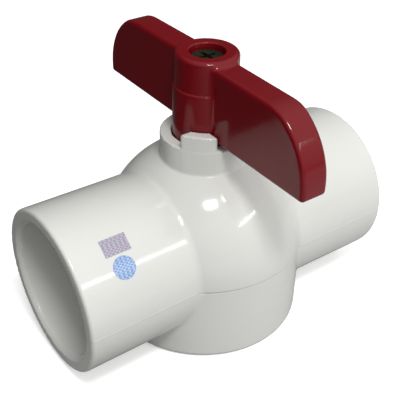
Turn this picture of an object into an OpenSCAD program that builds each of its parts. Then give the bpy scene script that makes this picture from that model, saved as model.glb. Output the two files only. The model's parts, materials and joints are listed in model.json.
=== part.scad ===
// Three way plastic ball valve with a slip socket at each end of the run and a third port below.
// Millimetres. +Z is the stem axis, +X runs along the run, and the bottom hub stands on z = 0.

/* [Run sockets] */
// Outer radius of each run socket at its mouth
socket_r = 29.8; // [28:0.1:31]
// Taper of each run socket, from its mouth to the stem axis
socket_draft = 0.4; // [0:0.1:0.8]
// Radius of each pipe socket bore
pipe_bore_r = 24.2; // [23.5:0.1:24.6]
// Depth from each mouth to its pipe stop
socket_depth = 27.8; // [22:0.1:30]
// Distance from the stem axis to each socket mouth
run_half = 64.6; // [60:0.1:70]
// Rounding of the outer rim at each mouth
rim_round = 1.2; // [0.5:0.1:2]

/* [Body] */
// Height of the run axis above the bottom face
axis_z = 31.5; // [31:0.5:36]
// Radius of the domed top
dome_r = 37.2; // [36:0.1:38]
// Radius of the round hub below the dome
hub_r = 36.8; // [36:0.1:37]
// Rounding of the hub's lower edge
hub_round = 1.8; // [0.5:0.1:2.5]

/* [Stem collar] */
// Outer radius of the collar
collar_r = 16; // [15.5:0.1:17]
// Inner radius of the collar
collar_bore_r = 11.9; // [11.9:0.1:12.6]
// Height of the collar top above the run axis
collar_top = 42.8; // [42:0.1:44.2]
// Height of the handle stop above the collar top
stop_rise = 5.4; // [2:0.1:6]
// Gap between a wing's side and the end of the stop it meets
stop_gap = 0.3; // [0.3:0.1:1.5]

/* [Handle] */
// Radius of the boss at its top
boss_r = 10.9; // [10:0.1:11.2]
// Radius of the boss below its step
boss_foot_r = 11.6; // [11.3:0.1:11.6]
// Height of the boss top above the run axis
boss_top = 72.5; // [70:0.5:76]
// Thickness of each wing
wing_t = 10.2; // [7:0.1:10.4]
// Reach of each wing from the stem axis
wing_reach = 55.5; // [50:0.5:58]
// Height of the wing's lower edge above the run axis
wing_low = 44.6; // [44.5:0.1:46]
// Height of the wing's upper edge at the boss, above the run axis
wing_high = 70.9; // [70:0.1:71.5]
// Radius of the wing's curved end
tip_arc_r = 24.3; // [20:0.1:28]
// Radius of the screw recess in the boss
recess_r = 6.1; // [5.6:0.1:6.5]

/* [Ball and seats] */
// Radius of the ball
ball_r = 23; // [22.5:0.1:23.2]
// Radius of the ball's three ports
port_r = 14; // [12:0.1:14]
// Outer radius of the two run seats
seat_r = 16.4; // [16:0.1:16.5]
// Outer radius of the seat carriers
carrier_r = 18; // [17.5:0.1:18]

/* [Stem] */
// Radius of the stem where it turns in the neck
stem_r = 6.5; // [6.4:0.1:7]
// Side of the square that drives the handle
drive_w = 9; // [8:0.1:9]
// Width of the tongue that turns the ball
tongue_w = 5.9; // [5:0.1:6.5]

/* [Bottom port] */
// Outer radius of the port bushing
bushing_r = 31; // [30:0.1:31.5]
// Depth of the bottom pipe socket
bottom_depth = 12; // [10:0.5:12]

/* [Hidden] */
$fn = 96;

fit = 0.05;             // radial clearance of a turning or seated piece
gap = 0.3;              // clearance between the ball and its chamber
cut = 1;                // overshoot of a cutting solid
lead_in = 1.4;          // chamfer at a run socket's mouth
bushing_lead_in = 1;    // chamfer at the bottom port's mouth

stop_x = run_half - socket_depth;    // pipe stop, from the stem axis
chamber_r = ball_r + gap;
carrier_x = 18;                      // inner end of a seat carrier
seat_back = 22;                      // back face of a run seat
seat_groove = 1.7;                   // depth of the groove behind a seat
seat_ring_r = 15.5;                  // centre circle of a seat O-ring
seat_ring_wire = 0.8;                // wire radius of a seat O-ring
way_r = port_r + 0.2;                // waterway through seats and carriers

bottom_stop = axis_z - bottom_depth; // depth of the bottom pipe stop below the run axis
bottom_seat_r = 15.8;                // ring that bears on the ball from below
bottom_flange_r = 17.6;
bottom_flange_t = 1.3;
bottom_ring_wire = 0.6;

neck_low = 27;          // underside of the neck that the stem passes through
shoulder_r = 9;
shoulder_t = 2.4;
washer_t = 1;
collar_floor = 38.4;    // floor of the collar's recess
drive_low = 38.8;       // the square starts here
drive_top = 57.6;
tongue_low = 18.9;
tongue_reach = 8;
slot_low = 18.5;        // floor of the slot in the ball
ring_heights = [31, 35];
stem_groove_h = 1.8;
stem_groove_r = 4.85;
stem_ring_wire = 0.78;
stem_ring_r = stem_groove_r + stem_ring_wire + 0.02;
screw_r = 2.1;
screw_hole_low = 44;

boss_low = 38.9;        // lower face of the handle boss
boss_step = 61;         // height of the step round the boss
web_low = 58;           // web of the handle that the screw clamps
web_top = 66.7;
handle_washer_t = 0.8;
handle_washer_r = recess_r - gap;
screw_head_r = recess_r - 0.8;
screw_head_h = 3;
screw_slot_w = 1.3;
screw_slot_reach = 0.6 * screw_head_r;
corner = 1.4;           // chamfer at the wing's lower corner
tip_arc_rise = 3.5;     // centre of the tip arc above the wing's lower edge
tip_arc_end = 67;       // the arc gives way to the straight upper edge here, in degrees
tip_arc_steps = 16;

label_t = 0.12;
label_x = -47.8;        // the labels sit one above the other on the left socket
square_label_size = [9.4, 6];
square_label_angle = 54;  // round the run, up from the front
round_label_r = 3.9;
round_label_angle = 39;

module at_axis() { translate([0, 0, axis_z]) children(); }
module along_x() { rotate([0, 90, 0]) children(); }
module torus(ring_r, wire_r) {
    rotate_extrude() translate([ring_r, 0]) circle(r = wire_r, $fn = 32);
}
module tube(outer, inner, h) {
    difference() {
        cylinder(r = outer, h = h);
        translate([0, 0, -cut]) cylinder(r = inner, h = h + 2 * cut);
    }
}
// A slightly tapered disc whose wide end, on top, has a rounded edge
module rounded_end(r, h, edge, draft = 0) {
    cylinder(r1 = r - draft, r2 = r, h = h - edge);
    cylinder(r = r - edge, h = h);
    translate([0, 0, h - edge]) torus(r - edge, edge);
}
module both_ends() {
    for (side = [0, 180]) rotate([0, 0, side]) children();
}

// The quarter of the collar that rises between the two wings and stops them
module handle_stop() {
    stop_edge = wing_t / 2 + stop_gap;
    translate([0, 0, collar_top - cut]) intersection() {
        tube(collar_r, collar_bore_r, stop_rise + cut);
        translate([-collar_r - stop_edge, -collar_r - stop_edge, 0])
            cube([collar_r, collar_r, stop_rise + cut]);
    }
}

module body_outside() {
    at_axis() {
        intersection() {
            sphere(r = dome_r);
            translate([-dome_r, -dome_r, 0]) cube([2 * dome_r, 2 * dome_r, dome_r]);
        }
        both_ends() along_x() rounded_end(socket_r, run_half, rim_round, socket_draft);
        cylinder(r = collar_r, h = collar_top);
        handle_stop();
    }
    translate([0, 0, axis_z]) mirror([0, 0, 1]) rounded_end(hub_r, axis_z, hub_round);
}

module valve_body() {
    color("ghostwhite") difference() {
        body_outside();
        at_axis() {
            sphere(r = chamber_r);
            both_ends() along_x() {
                translate([0, 0, stop_x]) cylinder(r = pipe_bore_r, h = socket_depth + cut);
                translate([0, 0, run_half - lead_in])
                    cylinder(r1 = pipe_bore_r, r2 = pipe_bore_r + 2 * lead_in, h = 2 * lead_in);
                cylinder(r = seat_r + fit, h = stop_x);
                translate([0, 0, carrier_x]) cylinder(r = carrier_r, h = stop_x);
            }
            cylinder(r = shoulder_r + fit, h = neck_low);
            cylinder(r = stem_r + fit, h = collar_top + cut);
            translate([0, 0, collar_floor]) cylinder(r = collar_bore_r, h = collar_top);
            translate([0, 0, -bottom_stop - cut]) cylinder(r = bottom_seat_r + fit, h = bottom_stop + cut);
            translate([0, 0, -bottom_stop - cut])
                cylinder(r = bottom_flange_r + fit, h = bottom_flange_t + cut);
        }
        translate([0, 0, -cut]) cylinder(r = bushing_r, h = bottom_depth + cut);
    }
}

module bottom_port_bushing() {
    color("white") difference() {
        cylinder(r = bushing_r, h = bottom_depth);
        translate([0, 0, -cut]) cylinder(r = pipe_bore_r, h = bottom_depth + 2 * cut);
        translate([0, 0, -bushing_lead_in])
            cylinder(r1 = pipe_bore_r + 2 * bushing_lead_in, r2 = pipe_bore_r, h = 2 * bushing_lead_in);
    }
}

// The ball opens downwards and to two sides a quarter turn apart
module ball() {
    color("whitesmoke") at_axis() difference() {
        sphere(r = ball_r);
        translate([0, 0, -ball_r - cut]) cylinder(r = port_r, h = ball_r + cut);
        for (side = [180, 270])
            rotate([0, 0, side]) along_x() cylinder(r = port_r, h = ball_r + cut);
        translate([-ball_r, -tongue_w / 2 - fit, slot_low])
            cube([2 * ball_r, tongue_w + 2 * fit, ball_r]);
    }
}

module run_seat() {
    along_x() difference() {
        cylinder(r = seat_r, h = seat_back);
        translate([0, 0, -cut]) cylinder(r = way_r, h = seat_back + 2 * cut);
        sphere(r = ball_r + fit);
    }
}
module run_seat_carrier() {
    along_x() difference() {
        translate([0, 0, carrier_x]) cylinder(r = carrier_r, h = stop_x - carrier_x);
        cylinder(r = way_r, h = stop_x + cut);
        cylinder(r = seat_r + fit, h = seat_back);
        translate([0, 0, seat_back]) tube(seat_ring_r + seat_ring_wire, seat_ring_r - seat_ring_wire,
            seat_groove);
    }
}
module run_seat_o_ring() {
    translate([seat_back + seat_groove / 2, 0, 0]) along_x() torus(seat_ring_r, seat_ring_wire);
}
module left_side() { at_axis() rotate([0, 0, 180]) children(); }

module left_seat() { color("white") left_side() run_seat(); }
module right_seat() { color("white") at_axis() run_seat(); }
module left_seat_carrier() { color("gainsboro") left_side() run_seat_carrier(); }
module right_seat_carrier() { color("gainsboro") at_axis() run_seat_carrier(); }
module left_seat_o_ring() { color("dimgray") left_side() run_seat_o_ring(); }
module right_seat_o_ring() { color("dimgray") at_axis() run_seat_o_ring(); }

// Flanged ring that carries the ball from below, held up by the pipe stop's O-ring
module bottom_seat() {
    color("white") at_axis() difference() {
        translate([0, 0, -bottom_stop]) {
            cylinder(r = bottom_seat_r, h = bottom_stop - ball_r / 2);
            cylinder(r = bottom_flange_r, h = bottom_flange_t);
        }
        translate([0, 0, -bottom_stop - cut]) cylinder(r = way_r, h = bottom_stop);
        sphere(r = ball_r + fit);
        translate([0, 0, -bottom_stop - cut])
            tube(seat_ring_r + bottom_ring_wire, seat_ring_r - bottom_ring_wire,
                2 * bottom_ring_wire + cut);
    }
}
module bottom_seat_o_ring() {
    color("dimgray") at_axis() translate([0, 0, -bottom_stop + bottom_ring_wire])
        torus(seat_ring_r, bottom_ring_wire);
}

module stem() {
    shoulder_top = neck_low - washer_t;
    color("gainsboro") at_axis() difference() {
        union() {
            intersection() {
                translate([-tongue_reach, -tongue_w / 2, tongue_low])
                    cube([2 * tongue_reach, tongue_w, shoulder_top - tongue_low]);
                cylinder(r = tongue_reach, h = shoulder_top);
            }
            translate([0, 0, shoulder_top - shoulder_t]) cylinder(r = shoulder_r, h = shoulder_t);
            translate([0, 0, shoulder_top - cut]) cylinder(r = stem_r, h = drive_low - shoulder_top + cut);
            translate([-drive_w / 2, -drive_w / 2, drive_low - cut])
                cube([drive_w, drive_w, drive_top - drive_low + cut]);
        }
        for (h = ring_heights) translate([0, 0, h - stem_groove_h / 2])
            tube(stem_r + cut, stem_groove_r, stem_groove_h);
        translate([0, 0, screw_hole_low]) cylinder(r = screw_r, h = drive_top);
    }
}
module stem_thrust_washer() {
    color("white") at_axis() translate([0, 0, neck_low - washer_t])
        tube(shoulder_r, stem_r + fit, washer_t);
}
module stem_o_ring(index) {
    color("black") at_axis() translate([0, 0, ring_heights[index]])
        torus(stem_ring_r, stem_ring_wire);
}
module lower_stem_o_ring() { stem_o_ring(0); }
module upper_stem_o_ring() { stem_o_ring(1); }

// Side view of one wing: straight edges to the boss and one large arc at the tip
module wing_outline() {
    arc_y = wing_reach - tip_arc_r;
    arc_z = wing_low + tip_arc_rise;
    first = asin((corner - tip_arc_rise) / tip_arc_r);
    polygon(concat(
        [[0, wing_low], [wing_reach - 2 * corner, wing_low]],
        [for (i = [0:tip_arc_steps]) let (a = first + (tip_arc_end - first) * i / tip_arc_steps)
            [arc_y + tip_arc_r * cos(a), arc_z + tip_arc_r * sin(a)]],
        [[0, wing_high]]));
}
module wing() {
    translate([wing_t / 2, 0, 0]) rotate([90, 0, -90]) linear_extrude(height = wing_t) wing_outline();
}
module handle() {
    color("firebrick") at_axis() difference() {
        union() {
            translate([0, 0, boss_low]) cylinder(r = boss_foot_r, h = boss_step - boss_low);
            translate([0, 0, boss_low]) cylinder(r = boss_r, h = boss_top - boss_low);
            both_ends() wing();
        }
        translate([0, 0, web_top]) cylinder(r = recess_r, h = boss_top);
        translate([0, 0, web_low - cut]) cylinder(r = screw_r + fit, h = boss_top);
        translate([-drive_w / 2 - fit, -drive_w / 2 - fit, boss_low - cut])
            cube([drive_w + 2 * fit, drive_w + 2 * fit, web_low - boss_low + cut]);
    }
}
module handle_washer() {
    color("silver") at_axis() translate([0, 0, web_top])
        tube(handle_washer_r, screw_r + 2 * fit, handle_washer_t);
}
module handle_screw() {
    head_low = web_top + handle_washer_t;
    color("darkolivegreen") at_axis() difference() {
        union() {
            translate([0, 0, screw_hole_low + cut]) cylinder(r = screw_r, h = head_low - screw_hole_low);
            translate([0, 0, head_low]) cylinder(r = screw_head_r, h = screw_head_h);
        }
        for (turn = [0, 90]) rotate([0, 0, turn])
            translate([-screw_slot_reach, -screw_slot_w / 2, head_low + screw_head_h / 2])
                cube([2 * screw_slot_reach, screw_slot_w, screw_head_h]);
    }
}

// Tapered outside of a run socket, grown outwards by skin and longer by half of longer at each end
module socket_cone(skin, longer = 0) {
    slope = socket_draft / (run_half - rim_round);
    cylinder(r1 = socket_r - socket_draft + skin - slope * longer / 2,
        r2 = socket_r + skin + slope * longer / 2, h = run_half - rim_round + longer);
}
// Thin skin on the left socket, cut to the shape of the children
module label_skin(x, angle) {
    at_axis() intersection() {
        rotate([0, 0, 180]) along_x() difference() {
            socket_cone(label_t);
            translate([0, 0, -cut / 2]) socket_cone(0, cut);
        }
        translate([x, 0, 0]) rotate([90 - angle, 0, 0]) linear_extrude(height = 2 * socket_r) children();
    }
}
module square_label() {
    color("slategray") label_skin(label_x, square_label_angle) square(square_label_size, center = true);
}
module round_label() {
    color("steelblue") label_skin(label_x, round_label_angle) circle(r = round_label_r);
}

valve_body();
bottom_port_bushing();
ball();
left_seat();
right_seat();
left_seat_carrier();
right_seat_carrier();
left_seat_o_ring();
right_seat_o_ring();
bottom_seat();
bottom_seat_o_ring();
stem();
stem_thrust_washer();
lower_stem_o_ring();
upper_stem_o_ring();
handle();
handle_washer();
handle_screw();
square_label();
round_label();
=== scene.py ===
"""Looks of the three way valve: moulded white body, red handle, labels, studio and camera."""
import json
import math

import bmesh
import bpy
import numpy as np
from mathutils import Matrix, Vector


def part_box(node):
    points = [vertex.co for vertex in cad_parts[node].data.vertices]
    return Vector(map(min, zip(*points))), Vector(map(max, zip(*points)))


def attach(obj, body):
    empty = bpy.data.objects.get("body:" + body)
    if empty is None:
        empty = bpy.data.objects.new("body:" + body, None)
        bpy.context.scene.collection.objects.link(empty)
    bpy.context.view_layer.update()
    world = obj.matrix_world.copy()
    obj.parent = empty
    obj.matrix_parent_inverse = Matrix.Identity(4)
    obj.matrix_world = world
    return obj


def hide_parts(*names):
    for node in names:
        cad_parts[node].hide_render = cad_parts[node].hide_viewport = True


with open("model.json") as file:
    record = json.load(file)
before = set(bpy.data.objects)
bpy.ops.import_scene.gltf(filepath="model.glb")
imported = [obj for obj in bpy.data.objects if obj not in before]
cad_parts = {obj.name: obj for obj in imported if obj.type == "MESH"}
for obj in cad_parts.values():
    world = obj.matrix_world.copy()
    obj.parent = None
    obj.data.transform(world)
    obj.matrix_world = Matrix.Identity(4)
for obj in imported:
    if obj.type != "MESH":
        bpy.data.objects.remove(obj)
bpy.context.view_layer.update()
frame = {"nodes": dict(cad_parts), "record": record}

MM = 0.001
mounts = {mount["name"]: mount for mount in frame["record"]["mounts"]}
left_socket = mounts["left_run_socket"]
AXIS_Z = left_socket["pos_m"][2] / MM
RUN_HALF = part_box("valve_body")[1].x / MM
PIPE_R = left_socket["dims"]["r_mm"]
LEAD_IN = RUN_HALF - abs(left_socket["pos_m"][0]) / MM
SOCKET_DEPTH = left_socket["dims"]["length_mm"] + LEAD_IN

# The moulding's sizes in millimetres, measured from the crossing of the run and stem axes
SOCKET_R = 29.8         # outside, at the mouth
SOCKET_DRAFT = 0.4      # how much smaller the socket is at the stem axis
RIM_ROUND = 1.2
DOME_R = 37.2
HUB_R = 36.8
HUB_ROUND = 1.8
COLLAR_R = 16.0
COLLAR_BORE_R = 11.9
COLLAR_TOP = 42.8
COLLAR_FLOOR = 38.4
STOP_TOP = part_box("valve_body")[1].z / MM - AXIS_Z
STOP_EDGE = 5.4
STOP_ROUND = 1.3
BUSHING_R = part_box("bottom_port_bushing")[1].x / MM
BUSHING_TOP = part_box("bottom_port_bushing")[1].z / MM - AXIS_Z
CARRIER_R = 18.0
CARRIER_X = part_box("right_seat_carrier")[0].x / MM
SEAT_R = 16.45
CHAMBER_R = 23.3
FLANGE_R = 17.65
FLANGE_POCKET = 0.6     # shallower than the CAD's; the lower seat's flange covers it
FLANGE_TOP = BUSHING_TOP + FLANGE_POCKET
LOWER_SEAT_R = 15.85
STEM_R = 6.55
SHOULDER_R = 9.05
NECK_LOW = 27.0
CREASE_ROUND = 0.9      # fillet between socket and dome
EDGE_ROUND = 0.5

# The groove where dome and hub meet, and the faint parting line along the sockets
SEAM_Z = -0.45
SEAM_DEPTH = 0.45
SEAM_WIDTH = 0.28
FLASH_RISE = 0.06
FLASH_WIDTH = 0.3
SEAM_LOOP_STEPS = (3, 2, 1.4, 0.8, 0.4, 0, -0.4, -0.8, -1.4, -2, -3)    # in seam widths
LOOP_MARGIN = 0.1

handle_low, handle_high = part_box("handle")
BOSS_LOW = handle_low.z / MM - AXIS_Z
BOSS_TOP = handle_high.z / MM - AXIS_Z
WING_REACH = handle_high.y / MM
BOSS_R = 10.9
FOOT_R = handle_high.x / MM
STEP_Z = 61.0
WING_T = 10.2
WING_LOW = 44.6
WING_HIGH = 70.8
WING_SLOPE = 0.010
TIP_R = 24.3
TIP_RISE = 3.5          # centre of the tip's arc above the wing's lower edge
WING_ROUND = 1.5
BLEND = 1.3             # fillet between wing and boss
BLEND_RUN_OUT = 4.0     # height over which the fillet grows to its full size
BLEND_LEAST = 0.1       # part of the fillet that is left beside the stop
RECESS_R = 6.1
WEB_LOW = 58.0          # the web that the screw clamps
WEB_TOP = 66.7
DRIVE_HALF = 4.55
SCREW_HOLE_R = 2.15
HOLE_OVERLAP = 1.0      # how far the screw hole runs into the drive's square


# ---- Solids as distance functions ----------------------------------------------------------

def round_and(a, b, r):
    """Distance to the overlap of two solids, its edge rounded to radius r."""
    return np.minimum(-r, np.maximum(a, b)) + np.hypot(np.maximum(a + r, 0), np.maximum(b + r, 0))


def round_or(a, b, r):
    """Distance to two solids joined, with a fillet of radius r in the corner."""
    return -round_and(-a, -b, r)


def body_distance(x, y, z):
    """The moulded body: sockets, dome, hub, collar and stop, less everything hollow."""
    off_run = np.hypot(y, z)
    off_stem = np.hypot(x, y)
    off_centre = np.hypot(off_run, x)
    along = np.abs(x)
    flash = FLASH_RISE * np.exp(-(z / FLASH_WIDTH) ** 2)
    taper = SOCKET_DRAFT * (1 - along / RUN_HALF)
    run = round_and(off_run - SOCKET_R + taper - flash, along - RUN_HALF, RIM_ROUND)
    step = np.clip(z / SEAM_WIDTH + 0.5, 0, 1) * (DOME_R - HUB_R)
    seam = SEAM_DEPTH * np.exp(-((z - SEAM_Z) / SEAM_WIDTH) ** 2)
    dome = off_centre - DOME_R
    hub = round_and(off_stem - HUB_R - step, -z - AXIS_Z, HUB_ROUND)
    shell = np.where(z > 0, dome, hub) + seam
    solid = round_or(run, shell, CREASE_ROUND)
    collar = np.maximum(round_and(off_stem - COLLAR_R, z - COLLAR_TOP, EDGE_ROUND), -z)
    quarter = np.maximum(x, y) + STOP_EDGE
    stop = round_and(off_stem - COLLAR_R, z - STOP_TOP, EDGE_ROUND / 2)
    stop = round_and(quarter, stop, STOP_ROUND)
    neck = round_or(collar, np.maximum(stop, -z), EDGE_ROUND / 2)
    solid = round_or(solid, neck, EDGE_ROUND)
    mouth_r = PIPE_R + np.maximum(0, along - (RUN_HALF - LEAD_IN))
    socket = np.maximum(off_run - mouth_r, RUN_HALF - SOCKET_DEPTH - along)
    solid = round_and(solid, -socket, EDGE_ROUND / 2)
    way = np.minimum(np.maximum(off_run - CARRIER_R, CARRIER_X - along),
                     np.maximum(off_run - SEAT_R, along - CARRIER_X))
    chamber = np.minimum(way, off_centre - CHAMBER_R)
    below = np.maximum(off_stem - LOWER_SEAT_R, z)
    flange = np.maximum(off_stem - FLANGE_R, z - FLANGE_TOP)
    port = np.maximum(off_stem - BUSHING_R, z - BUSHING_TOP)
    bottom = np.minimum(below, np.minimum(flange, port))
    stem_hole = np.minimum(np.maximum(off_stem - STEM_R, -z),
                           np.maximum(np.maximum(off_stem - SHOULDER_R, z - NECK_LOW), -z))
    inside = np.minimum(np.minimum(chamber, bottom), stem_hole)
    recess = np.maximum(off_stem - COLLAR_BORE_R, COLLAR_FLOOR - z)
    solid = np.maximum(solid, -inside)
    return round_and(solid, -recess, EDGE_ROUND / 2)


def handle_distance(x, y, z):
    """The handle: boss and wings, less the recess, the screw hole and the drive's square."""
    off_stem = np.hypot(x, y)
    reach = np.abs(y)
    upper = round_and(off_stem - BOSS_R, z - BOSS_TOP, WING_ROUND)
    lower = round_and(off_stem - FOOT_R, z - STEP_Z, EDGE_ROUND)
    boss = np.maximum(np.minimum(upper, lower), BOSS_LOW - z)
    top = z - (WING_HIGH - WING_SLOPE * reach)
    centre_y = WING_REACH - TIP_R
    centre_z = WING_LOW + TIP_RISE
    tip = np.where(reach > centre_y, np.hypot(reach - centre_y, z - centre_z) - TIP_R, -TIP_R)
    tip = np.where(z < centre_z, reach - WING_REACH, tip)
    profile = round_and(round_and(tip, top, WING_ROUND), WING_LOW - z, WING_ROUND)
    wing = round_and(profile, np.abs(x) - WING_T / 2, WING_ROUND)
    # The corner between wing and boss is sharp beside the stop and filleted above it
    fillet = BLEND * np.clip((z - STOP_TOP) / BLEND_RUN_OUT, BLEND_LEAST, 1)
    solid = round_or(boss, wing, fillet)
    solid = np.maximum(solid, BOSS_LOW - z)
    recess = np.maximum(off_stem - RECESS_R, WEB_TOP - z)
    hole = np.maximum(off_stem - SCREW_HOLE_R, WEB_LOW - HOLE_OVERLAP - z)
    drive = np.maximum(np.maximum(np.abs(x), reach) - DRIVE_HALF, z - WEB_LOW)
    solid = round_and(solid, -recess, EDGE_ROUND)
    return np.maximum(np.maximum(solid, -hole), -drive)


# ---- From distance function to mesh --------------------------------------------------------

BODY_CELL = 0.8         # grid of the body's mesh, in millimetres
HANDLE_CELL = 0.55
PROBE = 0.01            # step for measuring the slope
LEAST_SLOPE = 1e-6      # guards the division where the slope vanishes
PULL_ROUNDS = 3
EVEN_ROUNDS = 4
EVEN_SHARE = 0.6        # part of the way that a point moves towards its neighbours' mean
SNAP = 0.02             # a cut closer than this to a point goes through it


def gradient(distance, points):
    """Unit direction in which the distance grows, at each point."""
    steps = np.eye(3) * PROBE
    parts = [distance(*(points + s).T) - distance(*(points - s).T) for s in steps]
    slope = np.stack(parts, -1) / (2 * PROBE)
    return slope / np.maximum(np.linalg.norm(slope, axis=1, keepdims=True), LEAST_SLOPE)


def net(distance, low, high, cell):
    """Quad mesh over the surface of a solid: one point in each cell that the surface crosses."""
    axes = [np.arange(a - 2 * cell, b + 2 * cell, cell) for a, b in zip(low, high)]
    inside = distance(*np.meshgrid(*axes, indexing="ij")) < 0
    cells_x, cells_y, cells_z = (len(axis) - 1 for axis in axes)
    count = sum(inside[i:cells_x + i, j:cells_y + j, k:cells_z + k].astype(int)
                for i in (0, 1) for j in (0, 1) for k in (0, 1))
    crossed = (count > 0) & (count < 8)
    number = np.full(crossed.shape, -1)
    number[crossed] = np.arange(crossed.sum())
    cells = np.argwhere(crossed)
    points = np.stack([axes[n][cells[:, n]] + cell / 2 for n in range(3)], -1)
    quads = []
    for n in range(3):
        u, v = (n + 1) % 3, (n + 2) % 3
        here = inside.take(range(inside.shape[n] - 1), n)
        there = inside.take(range(1, inside.shape[n]), n)
        at = np.argwhere(here != there)
        ring = []
        for du, dv in ((-1, -1), (0, -1), (0, 0), (-1, 0)):
            spot = at.copy()
            spot[:, u] += du
            spot[:, v] += dv
            ring.append(number[tuple(spot.T)])
        ring = np.stack(ring, -1)
        leaving = here[tuple(at.T)]
        quads.append(np.where(leaving[:, None], ring, ring[:, ::-1]))
    return points, np.concatenate(quads)


def to_surface(distance, points, upright=None):
    """Moves points straight onto the surface; between the two heights in upright, sideways only."""
    for _ in range(PULL_ROUNDS):
        slope = gradient(distance, points)
        if upright:
            held = (points[:, 2] > upright[0]) & (points[:, 2] < upright[1])
            slope[held, 2] = 0
            size = np.linalg.norm(slope[held], axis=1, keepdims=True)
            slope[held] /= np.maximum(size, LEAST_SLOPE)
        points = points - distance(*points.T)[:, None] * slope
    return points


def settle(distance, points, quads):
    """Moves points onto the surface and evens out their spacing along it."""
    a = quads.ravel()
    b = np.roll(quads, -1, axis=1).ravel()
    for step in range(EVEN_ROUNDS):
        points = to_surface(distance, points)
        if step == EVEN_ROUNDS - 1:
            return points
        total = np.zeros_like(points)
        hits = np.bincount(a, minlength=len(points)) + np.bincount(b, minlength=len(points))
        for n in range(3):
            total[:, n] = (np.bincount(a, points[b, n], len(points))
                           + np.bincount(b, points[a, n], len(points)))
        shift = total / hits[:, None] - points
        normal = gradient(distance, points)
        shift -= (shift * normal).sum(1, keepdims=True) * normal
        points = points + shift * EVEN_SHARE


def solid_piece(name, distance, low, high, cell, material, loops=()):
    """The solid as one mesh, with extra edge loops at the heights in loops, where it is upright."""
    points, quads = net(distance, low, high, cell)
    points = settle(distance, points, quads)
    mesh = bpy.data.meshes.new(name)
    mesh.from_pydata(points.tolist(), [], quads.tolist())
    if loops:
        cutter = bmesh.new()
        cutter.from_mesh(mesh)
        for height in loops:
            bmesh.ops.bisect_plane(cutter, geom=cutter.verts[:] + cutter.edges[:] + cutter.faces[:],
                                   plane_co=(0, 0, height), plane_no=(0, 0, 1), dist=SNAP)
        cutter.to_mesh(mesh)
        cutter.free()
    points = np.empty(len(mesh.vertices) * 3)
    mesh.vertices.foreach_get("co", points)
    upright = (min(loops) - LOOP_MARGIN, max(loops) + LOOP_MARGIN) if loops else None
    points = to_surface(distance, points.reshape(-1, 3), upright)
    normals = gradient(distance, points)
    mesh.vertices.foreach_set("co", ((points + [0, 0, AXIS_Z]) * MM).ravel())
    mesh.polygons.foreach_set("use_smooth", [True] * len(mesh.polygons))
    mesh.normals_split_custom_set_from_vertices(normals.tolist())
    mesh.materials.append(material)
    piece = bpy.data.objects.new(name, mesh)
    bpy.context.scene.collection.objects.link(piece)
    return piece


# ---- Materials -----------------------------------------------------------------------------

CHECKS_PER_METRE = 1300.0
CLOUD_SCALE = 28.0
ROUGH_VARY = 0.06
COAT_ROUGHNESS = 0.08
GLOW_DEPTH = (0.004, 0.004, 0.003)      # how far light travels under the surface, in metres


def material(name, colour, roughness, metallic=0.0, vary=0.04, grain=300.0, bump=0.02, coat=0.0,
             subsurface=0.0, specular=0.5, checks=None):
    """A shader with uneven colour and gloss and a fine bump, all in object space.

    checks is the second colour of a fine printed check pattern."""
    made = bpy.data.materials.new(name)
    made.use_nodes = True
    nodes, links = made.node_tree.nodes, made.node_tree.links
    shader = nodes["Principled BSDF"]
    shader.inputs["Metallic"].default_value = metallic
    shader.inputs["Coat Weight"].default_value = coat
    shader.inputs["Coat Roughness"].default_value = COAT_ROUGHNESS
    shader.inputs["Specular IOR Level"].default_value = specular
    shader.inputs["Subsurface Weight"].default_value = subsurface
    shader.inputs["Subsurface Radius"].default_value = GLOW_DEPTH
    place = nodes.new("ShaderNodeTexCoord")
    cloud = nodes.new("ShaderNodeTexNoise")
    cloud.inputs["Scale"].default_value = CLOUD_SCALE
    cloud.inputs["Detail"].default_value = 5.0
    links.new(place.outputs["Object"], cloud.inputs["Vector"])
    tint = nodes.new("ShaderNodeValToRGB")
    tint.color_ramp.elements[0].position = 0.3
    tint.color_ramp.elements[1].position = 0.7
    other = [c * (1 - vary) for c in colour]
    tint.color_ramp.elements[0].color = (*other, 1)
    tint.color_ramp.elements[1].color = (*colour, 1)
    links.new(cloud.outputs["Fac"], tint.inputs["Fac"])
    links.new(tint.outputs["Color"], shader.inputs["Base Color"])
    if checks:
        pattern = nodes.new("ShaderNodeTexChecker")
        pattern.inputs["Scale"].default_value = CHECKS_PER_METRE
        pattern.inputs["Color2"].default_value = (*checks, 1)
        links.new(place.outputs["Object"], pattern.inputs["Vector"])
        links.new(tint.outputs["Color"], pattern.inputs["Color1"])
        links.new(pattern.outputs["Color"], shader.inputs["Base Color"])
    gloss = nodes.new("ShaderNodeMapRange")
    gloss.inputs["To Min"].default_value = roughness - ROUGH_VARY / 2
    gloss.inputs["To Max"].default_value = roughness + ROUGH_VARY / 2
    links.new(cloud.outputs["Fac"], gloss.inputs["Value"])
    links.new(gloss.outputs["Result"], shader.inputs["Roughness"])
    fine = nodes.new("ShaderNodeTexNoise")
    fine.inputs["Scale"].default_value = grain
    fine.inputs["Detail"].default_value = 3.0
    links.new(place.outputs["Object"], fine.inputs["Vector"])
    relief = nodes.new("ShaderNodeBump")
    relief.inputs["Strength"].default_value = bump
    relief.inputs["Distance"].default_value = MM
    links.new(fine.outputs["Fac"], relief.inputs["Height"])
    links.new(relief.outputs["Normal"], shader.inputs["Normal"])
    return made


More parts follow.
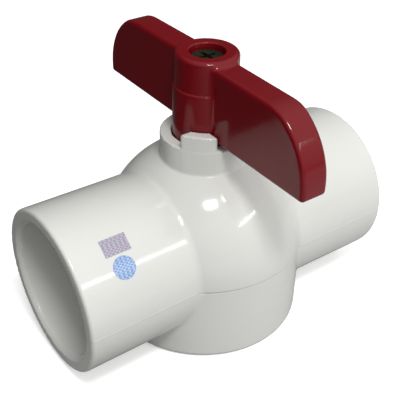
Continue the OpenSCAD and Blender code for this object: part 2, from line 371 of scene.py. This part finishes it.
pvc = material("white_pvc", (0.737, 0.742, 0.71), 0.13, vary=0.03, grain=180, bump=0.05,
               coat=0.15, subsurface=0.08)
ball_finish = material("ball_pvc", (0.70, 0.70, 0.68), 0.2, grain=500, bump=0.03)
stem_finish = material("stem_pvc", (0.42, 0.43, 0.44), 0.35, grain=600, bump=0.1)
ptfe = material("ptfe", (0.86, 0.86, 0.84), 0.45, grain=700, bump=0.06)
rubber = material("black_rubber", (0.02, 0.02, 0.02), 0.6, vary=0.3, grain=900, bump=0.1)
red = material("red_plastic", (0.185, 0.003, 0.007), 0.12, vary=0.12, grain=140, bump=0.04,
               specular=0.35)
steel = material("dark_steel", (0.014, 0.030, 0.014), 0.3, metallic=0.35, vary=0.5, grain=800,
                 bump=0.2)
grey_film = material("grey_label", (0.30, 0.30, 0.42), 0.3, grain=500, bump=0.05,
                     checks=(0.50, 0.44, 0.50))
blue_film = material("blue_label", (0.16, 0.30, 0.60), 0.3, grain=500, bump=0.05,
                     checks=(0.40, 0.52, 0.74))

finishes = {"white_pvc": pvc, "ball_pvc": ball_finish, "stem_pvc": stem_finish, "ptfe": ptfe,
            "black_rubber": rubber, "red_plastic": red, "dark_steel": steel,
            "grey_label": grey_film, "blue_label": blue_film}
for part in frame["record"]["subparts"]:
    mesh = frame["nodes"][part["node"]].data
    mesh.materials.clear()
    mesh.materials.append(finishes[part["material_slot"]])

# ---- Pieces --------------------------------------------------------------------------------

widest = max(DOME_R, HUB_R)
seam_loops = [SEAM_Z + SEAM_WIDTH * step for step in SEAM_LOOP_STEPS]
body_shell = solid_piece("body_moulding", body_distance, (-RUN_HALF, -widest, -AXIS_Z),
                         (RUN_HALF, widest, STOP_TOP), BODY_CELL, pvc, seam_loops)
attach(body_shell, "housing")
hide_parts("valve_body")

handle_piece = solid_piece("handle_moulding", handle_distance, (-FOOT_R, -WING_REACH, BOSS_LOW),
                           (FOOT_R, WING_REACH, BOSS_TOP), HANDLE_CELL, red)
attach(handle_piece, "handle_and_stem")
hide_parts("handle")

# ---- Studio and camera ---------------------------------------------------------------------

# The floor and the tent look whiter to the camera than they light the valve. The camera sees the
# floor at FLOOR_WHITE with a glow added. Every other ray meets a floor that is dark on one side and
# lighter on the other, and no glow.
FLOOR_HALF = 6.0
FLOOR_WHITE = 0.97
FLOOR_GLOW = 0.4
FLOOR_ROUGHNESS = 0.9
FLOOR_BRIGHT_SIDE = 45          # azimuth towards which the floor gets lighter
FLOOR_BOUNCE = (0.06, 0.62)
FLOOR_BOUNCE_REACH = 0.15       # distance from the middle over which it does, in metres
TENT_FACING = (15, 56)          # azimuth and elevation of the tent's brightest spot
TENT_FROM = 0.05                # the tent is dimmest where the angle's cosine is below this
TENT_DIM = 0.06
TENT_BRIGHT = 1.05
TENT_COLOUR = (1, 1, 0.99, 1)

# Azimuth and elevation, width and height in metres, and brightness
WINDOW = (-21, 61, 0.22, 0.14, 40.0)
STRIP = (25, 31, 0.44, 0.025, 30.0)

# The camera's place is set in view units, so it does not follow the valve's own sizes
VIEW_UNIT = 29.5 * MM
VIEW_ANGLES = (-36.35, 34.92)   # azimuth and elevation
VIEW_ROLL = 1.2
VIEW_DISTANCE = 10.0
VIEW_UP = 0.351                 # the look-at point, from the crossing of the axes
VIEW_LEFT = 0.047
VIEW_LENS = 69.8
VIEW_SENSOR = 36.0
VIEW_NEAR = 0.01


def direction(azimuth, elevation):
    """Unit vector; azimuth 0 points along -Y and 90 along +X."""
    a, e = math.radians(azimuth), math.radians(elevation)
    return Vector((math.sin(a) * math.cos(e), -math.cos(a) * math.cos(e), math.sin(e)))


def studio_floor():
    """A plain pale floor, with one look for the camera and another for every other ray."""
    half = FLOOR_HALF
    mesh = bpy.data.meshes.new("floor")
    corners = [(-half, -half, 0), (half, -half, 0), (half, half, 0), (-half, half, 0)]
    mesh.from_pydata(corners, [], [(0, 1, 2, 3)])
    floor = bpy.data.objects.new("floor", mesh)
    bpy.context.scene.collection.objects.link(floor)
    white = bpy.data.materials.new("floor_white")
    white.use_nodes = True
    shader = white.node_tree.nodes["Principled BSDF"]
    shader.inputs["Roughness"].default_value = FLOOR_ROUGHNESS
    shader.inputs["Specular IOR Level"].default_value = 0.0
    nodes, links = white.node_tree.nodes, white.node_tree.links
    path = nodes.new("ShaderNodeLightPath")
    tone = nodes.new("ShaderNodeMix")
    tone.data_type = "RGBA"
    place = nodes.new("ShaderNodeTexCoord")
    across = nodes.new("ShaderNodeVectorMath")
    across.operation = "DOT_PRODUCT"
    across.inputs[1].default_value = direction(FLOOR_BRIGHT_SIDE, 0)
    bounce = nodes.new("ShaderNodeMapRange")
    bounce.inputs["From Min"].default_value = -FLOOR_BOUNCE_REACH
    bounce.inputs["From Max"].default_value = FLOOR_BOUNCE_REACH
    bounce.inputs["To Min"].default_value = FLOOR_BOUNCE[0]
    bounce.inputs["To Max"].default_value = FLOOR_BOUNCE[1]
    links.new(place.outputs["Object"], across.inputs[0])
    links.new(across.outputs["Value"], bounce.inputs["Value"])
    links.new(bounce.outputs["Result"], tone.inputs["A"])
    shader.inputs["Emission Color"].default_value = (1, 1, 1, 1)
    glow = nodes.new("ShaderNodeMath")
    glow.operation = "MULTIPLY"
    glow.inputs[1].default_value = FLOOR_GLOW
    links.new(path.outputs["Is Camera Ray"], glow.inputs[0])
    links.new(glow.outputs["Value"], shader.inputs["Emission Strength"])
    tone.inputs["B"].default_value = (FLOOR_WHITE, FLOOR_WHITE, FLOOR_WHITE, 1)
    links.new(path.outputs["Is Camera Ray"], tone.inputs["Factor"])
    links.new(tone.outputs["Result"], shader.inputs["Base Color"])
    mesh.materials.append(white)


def soft_light(name, azimuth, elevation, width, height, radiance):
    """A rectangular light one metre from the valve, with the brightness its reflection shows."""
    lamp = bpy.data.lights.new(name, "AREA")
    lamp.shape = "RECTANGLE"
    lamp.size = width
    lamp.size_y = height
    lamp.energy = radiance * math.pi * width * height
    holder = bpy.data.objects.new(name, lamp)
    towards = direction(azimuth, elevation)
    holder.location = Vector((0, 0, AXIS_Z * MM)) + towards
    holder.rotation_euler = (-towards).to_track_quat("-Z", "Y").to_euler()
    bpy.context.scene.collection.objects.link(holder)


def tent():
    """A light tent, brightest in front and above and dim behind, that the camera sees as white."""
    world = bpy.data.worlds.new("tent")
    world.use_nodes = True
    nodes, links = world.node_tree.nodes, world.node_tree.links
    sight = nodes.new("ShaderNodeTexCoord")
    facing = nodes.new("ShaderNodeVectorMath")
    facing.operation = "DOT_PRODUCT"
    facing.inputs[1].default_value = direction(*TENT_FACING)
    level = nodes.new("ShaderNodeMapRange")
    level.inputs["From Min"].default_value = TENT_FROM
    level.inputs["From Max"].default_value = 1.0
    level.inputs["To Min"].default_value = TENT_DIM
    level.inputs["To Max"].default_value = TENT_BRIGHT
    links.new(sight.outputs["Generated"], facing.inputs[0])
    links.new(facing.outputs["Value"], level.inputs["Value"])
    path = nodes.new("ShaderNodeLightPath")
    seen = nodes.new("ShaderNodeMath")
    seen.operation = "MAXIMUM"
    links.new(level.outputs["Result"], seen.inputs[0])
    links.new(path.outputs["Is Camera Ray"], seen.inputs[1])
    links.new(seen.outputs["Value"], nodes["Background"].inputs["Strength"])
    nodes["Background"].inputs["Color"].default_value = TENT_COLOUR
    bpy.context.scene.world = world


def view_camera():
    """A long lens from the left, in front and above, rolled very slightly."""
    azimuth, roll = math.radians(VIEW_ANGLES[0]), math.radians(VIEW_ROLL)
    distance = VIEW_DISTANCE * VIEW_UNIT
    back = direction(*VIEW_ANGLES)
    right = Vector((math.cos(azimuth), math.sin(azimuth), 0))
    up = back.cross(right)
    centre = Vector((0, 0, AXIS_Z * MM)) + (up * VIEW_UP - right * VIEW_LEFT) * VIEW_UNIT
    turned_right = right * math.cos(roll) + up * math.sin(roll)
    turned_up = up * math.cos(roll) - right * math.sin(roll)
    data = bpy.data.cameras.new("camera")
    data.sensor_width = VIEW_SENSOR
    data.lens = VIEW_LENS
    data.clip_start = VIEW_NEAR
    camera = bpy.data.objects.new("camera", data)
    turn = Matrix((turned_right, turned_up, back)).transposed().to_4x4()
    camera.matrix_world = Matrix.Translation(centre + back * distance) @ turn
    bpy.context.scene.collection.objects.link(camera)
    bpy.context.scene.camera = camera


studio_floor()
soft_light("window", *WINDOW)
soft_light("strip", *STRIP)
tent()
bpy.context.scene.view_settings.view_transform = "Standard"
view_camera()
